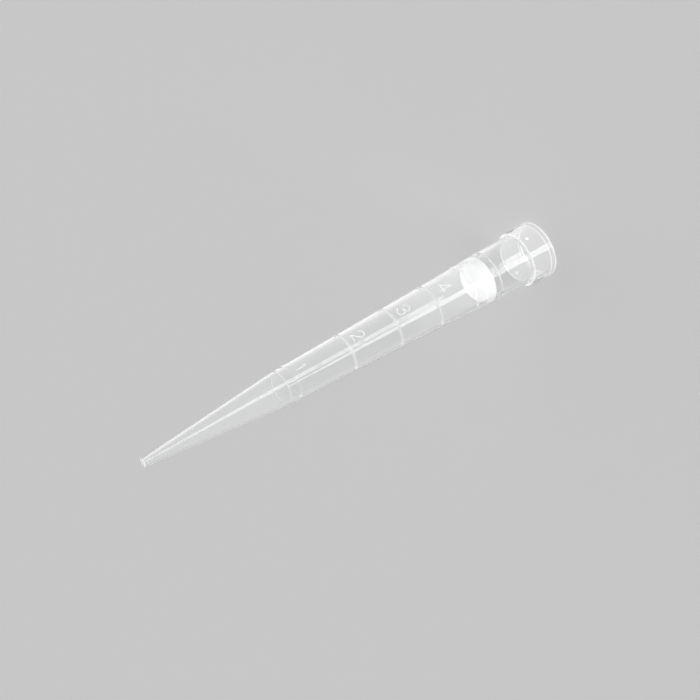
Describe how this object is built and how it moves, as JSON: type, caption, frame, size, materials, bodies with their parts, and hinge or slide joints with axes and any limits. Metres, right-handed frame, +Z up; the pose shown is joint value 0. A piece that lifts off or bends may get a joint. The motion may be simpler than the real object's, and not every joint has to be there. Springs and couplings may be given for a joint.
{
  "type": "pipette tip",
  "caption": "Graduated 5 ml filter pipette tip: clear moulded cone and barrel with a stepped collar, raised volume bands and a white filter plug.",
  "frame": {"origin": "centre of the rim's plane, which the tip stands on", "axes": "+Z up along the tip's own axis, from the rim to the orifice; -Y faces the middle of the volume bands"},
  "size_m": [0.0154, 0.0154, 0.124],
  "materials": {
    "clear_polypropylene": "clear, slightly hazy, moulded",
    "white_filter": "matt white sintered"
  },
  "bodies": {
    "root": {"tip_body": "clear_polypropylene", "filter_plug": "white_filter"}
  },
  "joints": []
}
